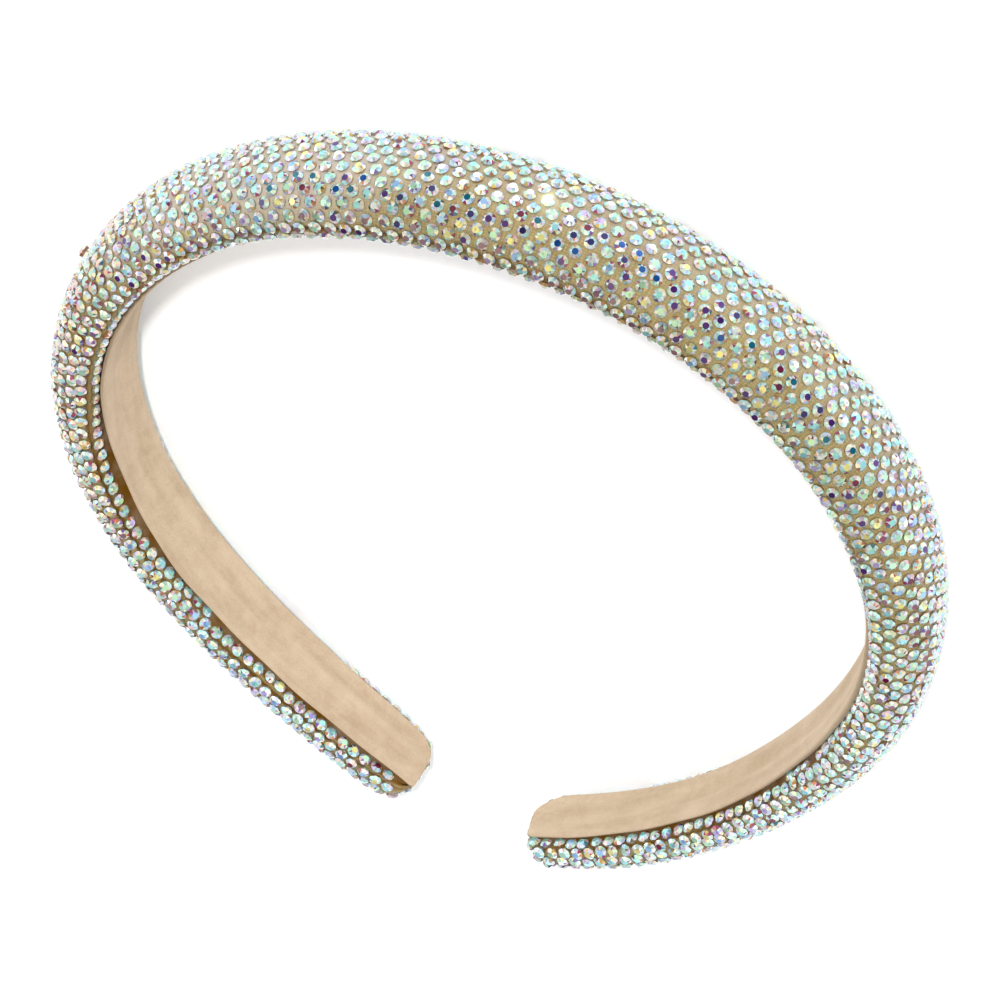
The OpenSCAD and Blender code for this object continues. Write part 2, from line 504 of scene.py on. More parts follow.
def between(over, w, grid):
    """Values of the coarse grid in between its points."""
    i = np.clip(np.searchsorted(SWELL_OVER, over) - 1, 0, len(SWELL_OVER) - 2)
    j = np.clip(np.searchsorted(SWELL_W, w) - 1, 0, len(SWELL_W) - 2)
    p = np.clip((over - SWELL_OVER[i]) / (SWELL_OVER[i + 1] - SWELL_OVER[i]), 0, 1)[..., None]
    q = np.clip((w - SWELL_W[j]) / (SWELL_W[j + 1] - SWELL_W[j]), 0, 1)[..., None]
    return ((1 - p) * (1 - q) * grid[i, j] + p * (1 - q) * grid[i + 1, j]
            + (1 - p) * q * grid[i, j + 1] + p * q * grid[i + 1, j + 1])


def pad_point(over, w, more=0.0):
    """A point of the finished base cloth."""
    over, w = np.broadcast_arrays(np.asarray(over, float), np.asarray(w, float))
    return cover_point(over, w, SWELL_ROOM + more) + between(over, w, SWELL_MOVED)


def groove(along, arc, width):
    """1 in the glued groove that follows the upper seam between two rows of stones."""
    return bell(arc, np.interp(along, GROOVE_AT, GROOVE_ARC), width)


def make_cover():
    """The base cloth over the pad, with its glued seams and the flat back behind the lining."""
    run = np.linspace(-NOSE_OVER[0], NOSE_OVER[0], COVER_RINGS)
    round_nose = np.linspace(NOSE_OVER[0], OVER_END, NOSE_RINGS)[1:-1]
    over = np.concatenate([-round_nose[::-1], run, round_nose])[:, None]
    w = np.concatenate([np.linspace(0, 1, BULGE_STEPS), np.linspace(1, 3, DOME_STEPS)[1:-1],
                        np.linspace(3, 4, BULGE_STEPS)])
    table_w, arcs = arc_table(along_at(over[:, 0]))
    arc = np.stack([np.interp(w, table_w, row) for row in arcs])
    from_seam = np.minimum(arc, arc[:, -1:] - arc)
    front = pad_point(over, w[None], GROOVE_DEPTH * groove(along_at(over), arc, GROOVE_WIDTH))
    # places across the back, and how far each has come from the seams to the flat face
    share = np.array(BACK_PLACES)
    flat = np.clip((np.minimum(share, 1 - share) - BACK_EASE) / BACK_EASE, 0, 1)
    up_low, out_low = section(along_at(over), w[None, -1:], cloth_depth(w[-1]) + SWELL_ROOM)
    up_high, _ = section(along_at(over), w[None, :1], cloth_depth(w[0]) + SWELL_ROOM)
    back = nosed(over, up_low + (up_high - up_low) * share, out_low + (BACK - out_low) * flat)
    ring = np.concatenate([front, back], 1)
    rings, sides = ring.shape[:2]
    ends = cover_point(np.array([-OVER_END, OVER_END]), np.array([2.0, 2.0]))
    made = new_object("pad_cover", np.concatenate([ring.reshape(-1, 3), ends]),
                      capped_faces(rings, sides))
    back_zero = np.zeros((rings, len(share)))
    # the dark glue colour, which also stands for painted shade in the groove and along the seams
    glue_and_shade = np.maximum(groove(along_at(over), arc, GROOVE_GLUE_AND_SHADE),
                       bump(from_seam, 0, SEAM_GLUE_AND_SHADE))
    seam = np.concatenate([glue_and_shade, back_zero + 1], 1)
    store(made.data, "seam", "FLOAT", "POINT", np.append(seam.ravel(), [END_GLUE] * 2))
    # painted light: the outer side is painted paler, where the sky lights it
    pale_from = PALE_FROM - PALE_SOONER * bump(along_at(over), *PALE_STRETCH)
    outer_side = np.concatenate([np.clip((w - pale_from) / PALE_RUN, 0, 1), back_zero + 1], 1)
    store(made.data, "outer_side", "FLOAT", "POINT", np.append(outer_side.ravel(), (1, 1)))
    places = np.stack([np.broadcast_to(over, ring.shape[:2]),
                       np.concatenate([arc, arc[:, -1:] + BACK_APART + back_zero], 1)], -1)
    ends = [(-OVER_END, END_ACROSS), (OVER_END, END_ACROSS)]
    lay_out(made.data, np.concatenate([places.reshape(-1, 2), ends]))
    return made


# Stones

TABLE_TONES = {
    "mint": paint(0.74, 0.93, 0.80), "cyan": paint(0.64, 0.92, 0.93),
    "white": paint(0.96, 0.98, 0.97), "yellow": paint(0.95, 0.92, 0.60),
    "sky": paint(0.62, 0.80, 0.98), "lilac": paint(0.80, 0.74, 0.95),
    "tan": paint(0.66, 0.52, 0.55), "navy": paint(0.15, 0.12, 0.42),
    "violet": paint(0.34, 0.16, 0.50), "blue": paint(0.06, 0.36, 0.70),
    "teal": paint(0.02, 0.45, 0.55), "crimson": paint(0.46, 0.02, 0.24),
    "rose": paint(0.97, 0.80, 0.74),
}
TONE_NAMES = list(TABLE_TONES)
ROSY_SIDE = (-92, 36)  # the left shoulder, where the light is rosy: its middle and half width
# Shares of the table tones in each zone of the paving. Apart from plain, the zones are painted
# reflection and shade: dark tables where they face the dark side of the room in this one view,
# white ones as a painted highlight, golden, ruby and rosy ones as painted tinted reflections, and
# dusky ones in painted shade
ZONES = {
    "plain": {"mint": 5, "cyan": 5, "white": 1.8, "yellow": 1.7, "sky": 2, "lilac": 1.4,
              "tan": 0.6, "violet": 0.25, "crimson": 0.15},
    "dark": {"navy": 4, "violet": 5, "blue": 3, "teal": 2.5, "crimson": 2.5, "mint": 0.8,
             "cyan": 1.8, "white": 0.6, "sky": 1.2},
    "bright": {"white": 8, "cyan": 1.5, "mint": 1.5, "yellow": 1},
    "golden": {"yellow": 5, "mint": 3.5, "white": 1, "cyan": 1, "violet": 0.7, "tan": 0.6},
    "dusky": {"tan": 4, "violet": 2.2, "mint": 2, "lilac": 2, "navy": 0.8, "yellow": 1},
    "ruby": {"crimson": 5, "violet": 2.5, "tan": 2, "mint": 2.5, "yellow": 1},
    "rosy": {"rose": 4, "lilac": 3, "violet": 1.5, "tan": 1.5, "mint": 1.5, "cyan": 1.5,
             "yellow": 1.2, "white": 1},
}


def stone_columns():
    """Places along the band of the stones of an even row."""
    places = [0.0]
    while places[-1] < OVER_END:
        eased = np.clip((places[-1] - PITCH_FROM) / PITCH_RUN, 0, 1)
        places.append(places[-1] + CROWN_PITCH + (LEG_PITCH - CROWN_PITCH) * eased)
    return np.array([-p for p in places[:0:-1]] + places)


def inside(place, ends):
    return (place > ends[0]) & (place < ends[1])


def stone_seats():
    """(over, w, distance from the dome's middle line) of every stone, row by row."""
    columns = stone_columns()
    tip = columns[inside(columns, TIP_ROW)]
    w, arcs = arc_table(along_at(tip))
    seats = [(place, np.interp(arc[-1] - TIP_ROW_IN, arc, w), TIP_ROW_ACROSS)
             for place, arc in zip(tip, arcs)]
    for row in ROWS:
        places = columns + (np.gradient(columns) / 2 if row % 2 else 0)
        wander = WANDER * np.sin(places / WANDER_LENGTH + WANDER_SHIFT * row)
        wander = wander + rng.normal(0, ASTRAY, len(places))
        w, arcs = arc_table(along_at(np.clip(places, -OVER_END, OVER_END)))
        # the rows stand off the first one near the left tip, and those beside the lining make
        # room for the wide groove on the left shoulder
        spread = STAND_OFF * bump(places, *STAND_OFF_STRETCH) if row > 0 else 0
        spread = spread - (ROOM * bump(places, *ROOM_STRETCH) if row < 0 else 0)
        distances = np.interp(places, ROW_AT, ROW_ARC) + row * ROW_SPACING + spread + wander
        tucked = (row == -1) & inside(places, TUCKED_ROW)
        distances = np.where(tucked, np.maximum(distances, -TUCKED_BY), distances)
        for place, arc, distance in zip(places, arcs, distances):
            worn = distance < WORN_WIDTH and inside(place, WORN)
            bare = place < -LEG + BARE_LENGTH and distance < BARE_WIDTH
            no_low_row = inside(place, NO_LOW_ROW) or place > NO_LOW_ROW_FROM
            margin = NO_ROW_MARGIN if no_low_row else LOW_MARGIN
            on_cloth = -OVER_UPPER_SEAM < distance < arc[-1] - margin
            if on_cloth and abs(place) < OVER_END - STONES_SHORT and not (worn or bare):
                middle = np.interp(2, w, arc)
                at = np.interp(distance, arc, w)
                seats.append((place + rng.normal(0, ASTRAY), at, distance - middle))
    return np.array(seats)


def seat_frames(seats):
    """Point and outward normal of each seat, on the swollen cloth."""
    at, w = seats[:, 0], seats[:, 1]
    step = 0.02
    point = pad_point(at, w)
    along = pad_point(at + step, w) - pad_point(at - step, w)
    round_it = pad_point(at, w + step) - pad_point(at, w - step)
    normal = np.cross(along, round_it)
    return point, normal / np.linalg.norm(normal, axis=1, keepdims=True)


def well_apart(points):
    """Which stones to keep so that none sits on another."""
    kept = []
    for i, point in enumerate(points):
        if not kept or ((points[kept] - point) ** 2).sum(1).min() > LEAST_APART**2:
            kept.append(i)
    return np.array(kept)


def stone_tones(seats):
    """For each stone a table tone, how lively its rim is and how much painted shade darkens it, by
    the zone it sits in; the zones paint reflections and shade into the tables' tones."""
    at, across = seats[:, 0], seats[:, 2]
    # the share of each zone's tones at its middle, and where it lies across and along the band
    shares = {
        "dark": 0.92 * bump(across, -5.8, 2.9) * bump(at, 19, 43),
        "bright": 0.6 * bump(across, -2.0, 1.7) * bump(at, 0, 10),
        "golden": 0.85 * bump(across, -9.9, 1.3) * bump(at, 15, 40),
        "dusky": 0.8 * bump(across, -12.5, 1.7) * bump(at, -10, 75),
        "rosy": 0.8 * bump(across, -3, 9) * bump(at, *ROSY_SIDE),
        "ruby": 0.6 * bump(across, -8.2 + 0.09 * (at - 69), 1.6) * bump(at, 84, 24),
    }
    tones = np.zeros(len(at))
    for i, (draw, pull) in enumerate(rng.random((len(at), 2))):
        zone = "plain"
        for name, share in shares.items():
            if draw < share[i]:
                zone = name
                break
            draw -= share[i]
        weights = np.array([ZONES[zone].get(name, 0) for name in TONE_NAMES], float)
        tones[i] = np.searchsorted(np.cumsum(weights) / weights.sum(), pull)
    lively = 0.93 + 0.07 * bump(across, -9, 7)
    shaded = bump(across, -11, 6) * bump(at, 20, 68)
    return (tones + 0.5) / len(TONE_NAMES), lively, shaded


def cut_stone():
    """One flat-backed stone of diameter 1: a table, eight stars, eight kites, a wall and a back.
    Points 0 to 7 are the table's, 8 to 23 the girdle's and 24 to 31 the back's."""
    table, girdle, base = 0.26, 0.5, 0.47
    table_height, star_foot, kite_foot, base_height = 0.40, 0.20, 0.155, -0.04
    points = []
    for k in range(8):
        a = k * math.pi / 4
        points.append((table * math.cos(a), table * math.sin(a), table_height))
    for k in range(16):
        a = k * math.pi / 8
        foot = star_foot if k % 2 else kite_foot
        points.append((girdle * math.cos(a), girdle * math.sin(a), foot))
    for k in range(8):
        a = k * math.pi / 4
        points.append((base * math.cos(a), base * math.sin(a), base_height))
    faces, facet = [tuple(range(8))], [TABLE]
    for k in range(8):
        left, middle, right = 8 + (2 * k - 1) % 16, 8 + 2 * k, 8 + (2 * k + 1) % 16
        after = (k + 1) % 8
        faces += [(k, right, after), (k, left, middle, right)]
        facet += [1 + k, 9 + k]
        faces += [(left, 24 + k, middle), (middle, 24 + k, right), (right, 24 + k, 24 + after)]
        facet += [WALL] * 3
    faces.append(tuple(range(31, 23, -1)))
    facet.append(FLAT_BACK)
    stone = new_object("cut_stone", np.array(points) / MM, faces, smooth=False)
    store(stone.data, "facet", "INT", "FACE", np.array(facet, np.int32))
    return stone


def stone_tree():
    """Sets a cut stone on every seat, turned with the cloth under it, and gives each of its
    facets a tone of its own."""
    tree = bpy.data.node_groups.new("set_stones", "GeometryNodeTree")
    for name, kind in (("Seats", "Geometry"), ("Stone", "Object"), ("Diameter", "Float"),
                       ("Size spread", "Float"), ("Tilt", "Float"), ("Seed", "Int"),
                       ("Finish", "Material")):
        tree.interface.new_socket(name, in_out="INPUT", socket_type="NodeSocket" + kind)
    tree.interface.new_socket("Stones", in_out="OUTPUT", socket_type="NodeSocketGeometry")
    nodes = Nodes(tree)
    start = nodes.add("NodeGroupInput")

    def named(name, kind):
        return nodes.add("GeometryNodeInputNamedAttribute", {"Name": name}, data_type=kind)

    facing = nodes.add("FunctionNodeAlignRotationToVector",
                       {"Vector": (named("facing", "FLOAT_VECTOR"), "Attribute")}, axis="Z")
    less = nodes.maths("MULTIPLY", (start, "Tilt"), -1.0)
    low = nodes.add("ShaderNodeCombineXYZ", {"X": less, "Y": less, "Z": 0.0})
    high = nodes.add("ShaderNodeCombineXYZ",
                     {"X": (start, "Tilt"), "Y": (start, "Tilt"), "Z": math.tau})
    tilt = nodes.add("FunctionNodeRandomValue", data_type="FLOAT_VECTOR")
    nodes.put_all(tilt, {"Min": (low, 0), "Max": (high, 0), "Seed": (start, "Seed")})
    euler = nodes.add("FunctionNodeEulerToRotation", {"Euler": (tilt, "Value")})
    turned = nodes.add("FunctionNodeRotateRotation",
                       {"Rotation": (facing, 0), "Rotate By": (euler, 0)},
                       rotation_space="LOCAL")
    size = nodes.add("FunctionNodeRandomValue", data_type="FLOAT")
    nodes.put(size, "Min", nodes.maths("SUBTRACT", 1.0, (start, "Size spread")))
    nodes.put(size, "Max", nodes.maths("ADD", 1.0, (start, "Size spread")))
    nodes.put(size, "Seed", (start, "Seed"))
    set_stones = nodes.add("GeometryNodeInstanceOnPoints", {
        "Points": (start, "Seats"),
        "Instance": (nodes.add("GeometryNodeObjectInfo", {"Object": (start, "Stone")}), "Geometry"),
        "Rotation": (turned, 0),
        "Scale": nodes.maths("MULTIPLY", (size, "Value"), (start, "Diameter")),
    })

    def keep(geometry, name, kind, domain, source):
        node = nodes.add("GeometryNodeStoreNamedAttribute", data_type=kind, domain=domain)
        nodes.put_all(node, {"Geometry": geometry, "Name": name, "Value": source})
        return node, "Geometry"

    index = nodes.add("GeometryNodeInputIndex"), 0
    numbered = keep((set_stones, 0), "stone_number", "INT", "INSTANCE", index)
    real = nodes.add("GeometryNodeRealizeInstances", {"Geometry": numbered}), 0
    facet = named("facet", "INT"), "Attribute"
    number = named("stone_number", "INT"), "Attribute"
    each = nodes.maths("ADD", nodes.maths("MULTIPLY", number, FACETS_APART), facet)
    tone = nodes.add("FunctionNodeRandomValue", data_type="FLOAT")
    seed = nodes.maths("ADD", (start, "Seed"), 1.0)
    nodes.put_all(tone, {"Min": 0.0, "Max": 1.0, "ID": each, "Seed": seed})
    toned = keep(real, "facet_tone", "FLOAT", "FACE", (tone, "Value"))
    finish = nodes.add("GeometryNodeSetMaterial",
                       {"Geometry": toned, "Material": (start, "Finish")})
    nodes.add("NodeGroupOutput", {"Stones": (finish, 0)})
    return tree


def stone_crystal():
    """Clear stones with a rainbow coating over foil, seen as tinted mirrors facet by facet."""
    made, nodes, shader = new_finish("stone_crystal")
    tone = nodes.maths("MULTIPLY", nodes.attribute("facet_tone"), nodes.attribute("lively"))
    rims = nodes.ramp(tone, [
        (0.0, paint(0.95, 0.96, 0.94)), (0.12, paint(0.80, 0.94, 0.86)),
        (0.28, paint(0.73, 0.92, 0.93)), (0.43, paint(0.74, 0.83, 0.95)),
        (0.55, paint(0.87, 0.82, 0.93)), (0.65, paint(0.95, 0.88, 0.82)),
        (0.73, paint(0.92, 0.90, 0.72)), (0.80, paint(0.93, 0.80, 0.82)),
        (0.855, paint(0.78, 0.64, 0.34)), (0.885, paint(0.76, 0.46, 0.30)),
        (0.91, paint(0.62, 0.22, 0.40)), (0.935, paint(0.48, 0.36, 0.66)),
        (0.96, paint(0.28, 0.52, 0.60)), (0.98, paint(0.42, 0.34, 0.27)),
    ], "CONSTANT")
    stops = [(k / len(TABLE_TONES), colour) for k, colour in enumerate(TABLE_TONES.values())]
    tables = nodes.ramp(nodes.attribute("table_tone"), stops, "CONSTANT")
    facet = nodes.attribute("facet")
    is_table = nodes.maths("LESS_THAN", facet, TABLE + 0.5)
    colour = nodes.mix(is_table, rims, tables)
    # small broken reflections inside each stone
    place = nodes.add("ShaderNodeTexCoord"), "Object"
    shards = nodes.add("ShaderNodeTexVoronoi", {"Vector": place, "Scale": 2300.0})
    inner = nodes.ramp((shards, "Color"), [
        (0.0, paint(0.80, 0.88, 0.95)), (0.25, paint(0.95, 0.96, 0.95)),
        (0.55, paint(0.95, 0.88, 0.90)), (0.66, paint(0.93, 0.96, 0.80)),
        (0.76, paint(0.64, 0.61, 0.70)),
    ], "CONSTANT")
    colour = nodes.mix(0.6, colour, inner, "MULTIPLY")
    shade = nodes.maths("MULTIPLY", nodes.attribute("shaded"), 0.75)
    colour = nodes.mix(shade, colour, paint(0.80, 0.78, 0.70), "MULTIPLY")
    # painted light: a rosy tint on the stones of the left shoulder
    colour = nodes.mix(nodes.attribute("rosy"), colour, paint(0.99, 0.94, 0.90), "MULTIPLY")
    # painted shade: the walls and the back are darkened to olive, as the dark outline where shade
    # falls round each stone's foot
    foot = nodes.maths("MULTIPLY", nodes.maths("GREATER_THAN", facet, WALL - 0.5), 0.65)
    colour = nodes.mix(foot, colour, paint(0.56, 0.47, 0.28))
    # painted glint: the flashing tables glow
    flash = nodes.maths("MULTIPLY", nodes.attribute("flash"), is_table)
    nodes.put_all(shader, {
        "Base Color": colour, "Metallic": 0.45, "Roughness": 0.16, "Coat Weight": 0.8,
        "Coat Roughness": 0.08, "Emission Color": (1.0, 1.0, 0.94, 1.0),
        "Emission Strength": flash,
    })
    return made


def nearest(seats, spot):
    """The stone nearest to a place along the band and a distance from the dome's middle line."""
    return np.argmin(np.hypot(seats[:, 0] - spot[0], seats[:, 2] - spot[1]))


def make_stones():
    """The paving: a cut stone on every seat, as one mesh."""
    seats = stone_seats()
    points, normals = seat_frames(seats)
    kept = well_apart(points + normals * STONE_RISE)
    seats, points, normals = seats[kept], points[kept], normals[kept]
    proud = nearest(seats, PROUD_STONE)
    points[proud] += PROUD_BY * normals[proud]
    # where the band rests, its own weight presses the stones into the pad
    facing_down = np.clip(-normals[:, 2], 0, 1)
    lowest = points[:, 2] - STONE_RISE * facing_down - STONE / 2 * np.sqrt(1 - facing_down**2)
    points[:, 2] += np.clip(OFF_FLOOR - lowest, 0, MOST_PRESSED)
    table_tone, lively, shaded = stone_tones(seats)
    white = abs(table_tone - (TONE_NAMES.index("white") + 0.5) / len(TONE_NAMES)) < 0.01
    flash = WHITE_FLASH * white * bump(seats[:, 2], *WHITE_ACROSS)
    flash = flash * bump(seats[:, 0], *WHITE_ALONG)
    flash[nearest(seats, BRIGHTEST_STONE)] = BRIGHTEST_FLASH
    mesh = bpy.data.meshes.new("stone_seats")
    mesh.from_pydata([tuple(p) for p in points * MM], [], [])
    store(mesh, "facing", "FLOAT_VECTOR", "POINT", normals)
    for name, values in (("table_tone", table_tone), ("lively", lively), ("shaded", shaded),
                         ("rosy", bump(seats[:, 0], *ROSY_SIDE)), ("flash", flash)):
        store(mesh, name, "FLOAT", "POINT", values)
    seat_object = link(bpy.data.objects.new("stone_seats", mesh))
    stone = cut_stone()
    tree = stone_tree()
    modifier = seat_object.modifiers.new("set_stones", "NODES")
    modifier.node_group = tree
    inputs = {"Stone": stone, "Diameter": STONE * MM, "Size spread": SIZE_SPREAD,
              "Tilt": STONE_TILT, "Seed": STONE_SEED, "Finish": stone_crystal()}
    for item in tree.interface.items_tree:
        if item.item_type == "SOCKET" and item.in_out == "INPUT" and item.name in inputs:
            modifier[item.identifier] = inputs[item.name]
    evaluated = seat_object.evaluated_get(bpy.context.evaluated_depsgraph_get())
    made = bpy.data.meshes.new_from_object(evaluated)
    bpy.data.objects.remove(seat_object)
    bpy.data.objects.remove(stone)
    made.attributes.remove(made.attributes["facing"])
    print("stones: %d, faces: %d" % (len(seats), len(made.polygons)))
    return link(bpy.data.objects.new("stones", made))


# Lining

LEFT_LOW_CORNER, RIGHT_LOW_CORNER = 3.6, 5.0
HIGH_CORNER = 1.0
LEFT_BULGE, RIGHT_BULGE = 0.2, 1.0  # how far the lower half of each end stands out
CORNER_ZONE = 5.0  # the stretch at each end with closer rings
BULGE_ZONE = 9.0  # the stretch over which each end's bulge grows
CLOSING = 0.35  # the stretch over which each end's edge is rounded off
DIMPLE_AT, DIMPLE_ACROSS, DIMPLE_DEPTH = -179, -0.45, 0.3
DIMPLE_LENGTH, DIMPLE_WIDTH = 1.5, 0.28
END_THICKNESS = 0.4  # share of the thickness that is left at the very ends
LINING_RINGS, CORNER_RINGS = 320, 15
FACE_DEPTH = 0.2  # points of the section above this one follow the folds
CUT_FROM, CUT_RUN = 0.965, 0.02  # where the cut edge begins to show, as a share of half the width
NARROWER_BY, NARROWER_STRETCH = 0.35, (-113, 12)  # the upper edge on the left leg
RIGHT_WIDER = 0.15  # the lower edge on the right leg
# How much wider than in the CAD the strip is along the lower edge of the left leg
WIDER_AT = (-180, -172, -165, -155, -145, -121, -109, -97, -85)
WIDER_BY = (0.6, 1.2, 1.4, 1.75, 1.7, 1.6, 0.95, 0.3, 0.15)


def corner_inset(radius, past):
    past = np.clip(past + radius, 0, radius)
    return radius - np.sqrt(radius**2 - past**2)


def lining_fold(along, a):
    """Soft lengthwise folds of the lining, as a height towards the head."""
    folds = 0.20 * np.sin(3.4 * a + along / 31 + 0.8) + 0.12 * np.sin(6.5 * a - along / 19)
    small = 0.02 * np.sin(along / 3.1 + 2 * a) * np.sin(5 * a + along / 7)
    dimple = np.exp(-(((along - DIMPLE_AT) / DIMPLE_LENGTH) ** 2)
                    - ((a - DIMPLE_ACROSS) / DIMPLE_WIDTH) ** 2)
    return (folds + small) * (1 - a**4) - DIMPLE_DEPTH * dimple


def make_lining():
    """The suede strip: closed, about a millimetre thick, with its cut ends rounded."""
    end = LEG - LINING_SHORT
    ease = np.sin(np.radians(np.linspace(0, 90, CORNER_RINGS)))[1:] * CORNER_ZONE
    run = np.linspace(-end + CORNER_ZONE, end - CORNER_ZONE, LINING_RINGS)
    last_rings = end - CORNER_ZONE + ease
    along = np.concatenate([-last_rings[::-1], run, last_rings])
    right = along > 0
    past = abs(along) - end
    low_radius = np.where(right, RIGHT_LOW_CORNER, LEFT_LOW_CORNER)
    # both edges are cut by hand, so they wave a little
    wave = 0.10 * np.sin(along / 5.3) + 0.07 * np.sin(along / 2.1 + 1)
    half = half_lining(along)
    high = half + wave - NARROWER_BY * bump(along, *NARROWER_STRETCH)
    high = high - corner_inset(HIGH_CORNER, past)
    wider = np.interp(along, WIDER_AT, WIDER_BY) + RIGHT_WIDER * right
    low = -half - wider + 0.12 * np.sin(along / 6.1 + 2) + corner_inset(low_radius, past)
    edge = np.array([(-0.87, 0.95), (-0.94, 0.5), (-0.99, 0.25), (-1, 0.14), (-0.985, 0.04)])
    face = np.stack([np.linspace(-0.95, 0.95, 35), np.zeros(35)], 1)
    under = np.stack([np.linspace(0.8, -0.8, 9), np.full(9, LINING_THICKNESS)], 1)
    other = edge[::-1] * (-1, 1)
    loop = np.concatenate([edge, face, other, under])
    a, depth = loop[None, :, 0], loop[None, :, 1]
    up = (high[:, None] + low[:, None]) / 2 + a * (high - low)[:, None] / 2
    bulge = np.where(right, RIGHT_BULGE, LEFT_BULGE)[:, None]
    near_end = np.clip((past + BULGE_ZONE) / BULGE_ZONE, 0, 1)[:, None] ** 2
    there = along[:, None] + np.sign(along)[:, None] * near_end * bulge * (1 - a) / 2
    there = np.clip(there, -LEG, LEG)
    fold = lining_fold(there, a) * (depth < FACE_DEPTH)
    closing = np.clip(-past / CLOSING, 0, 1)[:, None] ** 0.5
    middle = LINING_THICKNESS / 2
    thinned = END_THICKNESS + (1 - END_THICKNESS) * closing
    out = middle + (depth - middle) * thinned - fold
    points = placed(there, up, out) - ORIGIN
    rings, sides = points.shape[:2]
    ends = np.stack([points[0].mean(0), points[-1].mean(0)])
    made = new_object("lining_strip", np.concatenate([points.reshape(-1, 3), ends]),
                      capped_faces(rings, sides))
    places = np.stack([there, up], -1).reshape(-1, 2)
    lay_out(made.data, np.concatenate([places, [(-LEG, 0), (LEG, 0)]]))
    cut_edge = np.clip((abs(a) - CUT_FROM) / CUT_RUN, 0, 1) + 0 * there
    store(made.data, "cut_edge", "FLOAT", "POINT", np.append(cut_edge.ravel(), (1, 1)))
    area = float(np.sum((high - low)[1:] * np.diff(along))) * MM**2
    return made, area


cover = make_cover()
stones = make_stones()
lining, lining_area = make_lining()


def base_cloth():
    """The olive tan cloth between the stones: fine weave, glue, a lilac sheen, painted paler on its
    outer side where the sky lights it, and dark at the seams with glue and painted shade.
    """
    made, nodes, shader = new_finish("base_cloth")
    place = nodes.add("ShaderNodeTexCoord"), "Object"
    flat = nodes.add("ShaderNodeUVMap", uv_map="cloth"), 0
    cloudy = nodes.add("ShaderNodeTexNoise", {"Vector": place, "Scale": 260.0, "Detail": 4.0})
    grain = nodes.add("ShaderNodeTexNoise", {"Vector": place, "Scale": 2600.0, "Detail": 3.0})
    colour = nodes.ramp((cloudy, 0), [
        (0.3, paint(0.50, 0.43, 0.255)), (0.7, paint(0.605, 0.535, 0.35))])
    colour = nodes.mix(0.25, colour, nodes.ramp((grain, 0), [
        (0.35, paint(0.55, 0.47, 0.28)), (0.65, paint(0.80, 0.73, 0.55))]))
    weave = []
    for direction in ("X", "Y"):
        weave.append(nodes.add("ShaderNodeTexWave", {"Vector": flat, "Scale": 62.0,
                               "Distortion": 0.6, "Detail": 1.0}, bands_direction=direction))
    woven = nodes.maths("MULTIPLY", (weave[0], "Fac"), (weave[1], "Fac"))
    colour = nodes.mix(nodes.maths("MULTIPLY", woven, 0.25), colour, paint(0.86, 0.80, 0.66))
    painted_skylight = nodes.maths("MULTIPLY", nodes.attribute("outer_side"), 0.75)
    colour = nodes.mix(painted_skylight, colour, paint(0.78, 0.74, 0.70))
    # dark ochre glue, darkened further as painted shade in the groove and at the seams
    patchy = nodes.maths("MULTIPLY", nodes.attribute("seam"),
                         nodes.ramp((cloudy, 0), [(0.25, (0.65,) * 3 + (1,)), (0.6, (1,) * 4)]))
    colour = nodes.mix(patchy, colour, paint(0.45, 0.30, 0.03))
    height = nodes.maths("ADD", nodes.maths("MULTIPLY", woven, 0.6),
                         nodes.maths("MULTIPLY", (grain, 0), 0.5))
    bumped = nodes.add("ShaderNodeBump", {"Strength": 0.5, "Distance": 0.00005, "Height": height})
    nodes.put_all(shader, {
        "Base Color": colour, "Roughness": 0.72, "Specular IOR Level": 0.2, "Sheen Weight": 0.28,
        "Sheen Roughness": 0.35, "Sheen Tint": paint(0.84, 0.80, 0.90), "Normal": (bumped, 0),
    })
    return made


def suede():
    """Beige suede: mottled nap, brushed streaks along the strip and a pale cut edge."""
    made, nodes, shader = new_finish("suede")
    place = nodes.add("ShaderNodeTexCoord"), "Object"
    flat = nodes.add("ShaderNodeUVMap", uv_map="cloth"), 0
    drawn = nodes.add("ShaderNodeMapping", {"Vector": flat, "Scale": (1.0, 6.0, 1.0)})
    streaks = nodes.add("ShaderNodeTexNoise", {"Vector": (drawn, 0), "Scale": 7.0, "Detail": 4.0,
                                               "Roughness": 0.55})
    mottle = nodes.add("ShaderNodeTexNoise", {"Vector": place, "Scale": 330.0, "Detail": 5.0,
                                              "Roughness": 0.6, "Distortion": 0.8})
    nap = nodes.add("ShaderNodeTexNoise", {"Vector": place, "Scale": 4200.0, "Detail": 3.0})
    colour = nodes.ramp((streaks, 0), [
        (0.35, paint(0.67, 0.58, 0.47)), (0.65, paint(0.77, 0.69, 0.59))])
    colour = nodes.mix(0.4, colour, nodes.ramp((mottle, 0), [
        (0.35, paint(0.66, 0.57, 0.46)), (0.65, paint(0.77, 0.69, 0.59))]))
    colour = nodes.mix(0.18, colour, nodes.ramp((nap, 0), [
        (0.3, paint(0.58, 0.48, 0.38)), (0.7, paint(0.84, 0.77, 0.68))]))
    colour = nodes.mix(nodes.maths("MULTIPLY", nodes.attribute("cut_edge"), 0.5), colour,
                       paint(0.70, 0.60, 0.48))
    height = nodes.maths("ADD", (mottle, 0), nodes.maths("MULTIPLY", (nap, 0), 0.35))
    bumped = nodes.add("ShaderNodeBump", {"Strength": 0.45, "Distance": 0.00015, "Height": height})
    nodes.put_all(shader, {
        "Base Color": colour, "Roughness": 0.95, "Sheen Weight": 0.35, "Sheen Roughness": 0.5,
        "Sheen Tint": paint(0.98, 0.90, 0.80), "Normal": (bumped, 0),
    })
    return made


cover.data.materials.append(base_cloth())
lining.data.materials.append(suede())
for piece, slot in ((cover, "cover"), (stones, "stones"), (lining, "lining")):
    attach(piece, "root")
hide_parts("padded_band")
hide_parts("lining")


# Studio: cards that show only in gloss, floor, light and camera

